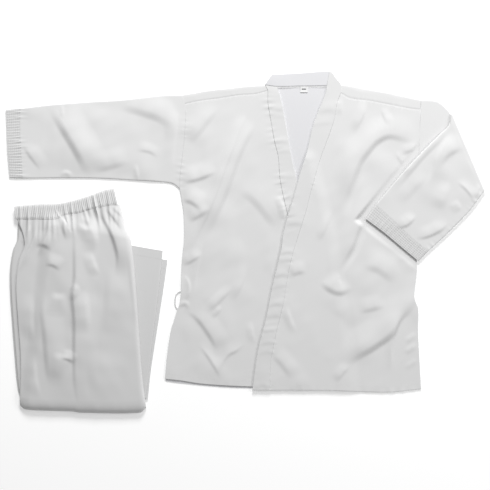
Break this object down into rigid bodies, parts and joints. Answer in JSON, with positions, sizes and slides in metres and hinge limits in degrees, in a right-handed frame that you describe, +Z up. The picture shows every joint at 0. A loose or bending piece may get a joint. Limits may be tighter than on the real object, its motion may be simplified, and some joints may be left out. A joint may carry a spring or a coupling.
{
  "type": "karate uniform",
  "caption": "White karate uniform laid flat: wrap jacket with ribbed cuffs and one sleeve folded over, beside folded trousers with a gathered waist",
  "frame": {"origin": "on the surface that the uniform lies on, under the centre of its bounding box", "axes": "+X to the viewer's right across the jacket, which is the wearer's left; +Y towards the collar; +Z up out of the surface"},
  "size_m": [1.2438, 0.8899, 0.0219],
  "materials": {
    "white_cotton": "light plain-weave cotton mix, bleached white, soft creases",
    "inside_cotton": "inner face of the same cloth",
    "band_cotton": "doubled cloth band with rows of topstitching",
    "cuff_cotton": "ribbed cuff crossed by rows of stitching",
    "tape": "narrow woven tape",
    "label_cloth": "smooth plain white tape label",
    "trouser_cotton": "light plain-weave cotton mix, bleached white, creased",
    "waist_cotton": "gathered over wide elastic, with rows of stitching"
  },
  "bodies": {
    "root": {"back": "inside_cotton", "front_right": "white_cotton", "front_left": "white_cotton", "band_right": "band_cotton", "band_left": "band_cotton", "collar_band": "band_cotton", "yoke_right": "white_cotton", "yoke_left": "white_cotton", "sleeve_right": "white_cotton", "sleeve_left": "white_cotton", "cuff_right": "cuff_cotton", "cuff_left": "cuff_cotton", "side_loop": "tape", "neck_label": "label_cloth", "waistband": "waist_cotton", "leg_upper": "trouser_cotton", "leg_under": "trouser_cotton", "lower_leg_near": "trouser_cotton", "lower_leg_far": "trouser_cotton"}
  },
  "joints": []
}
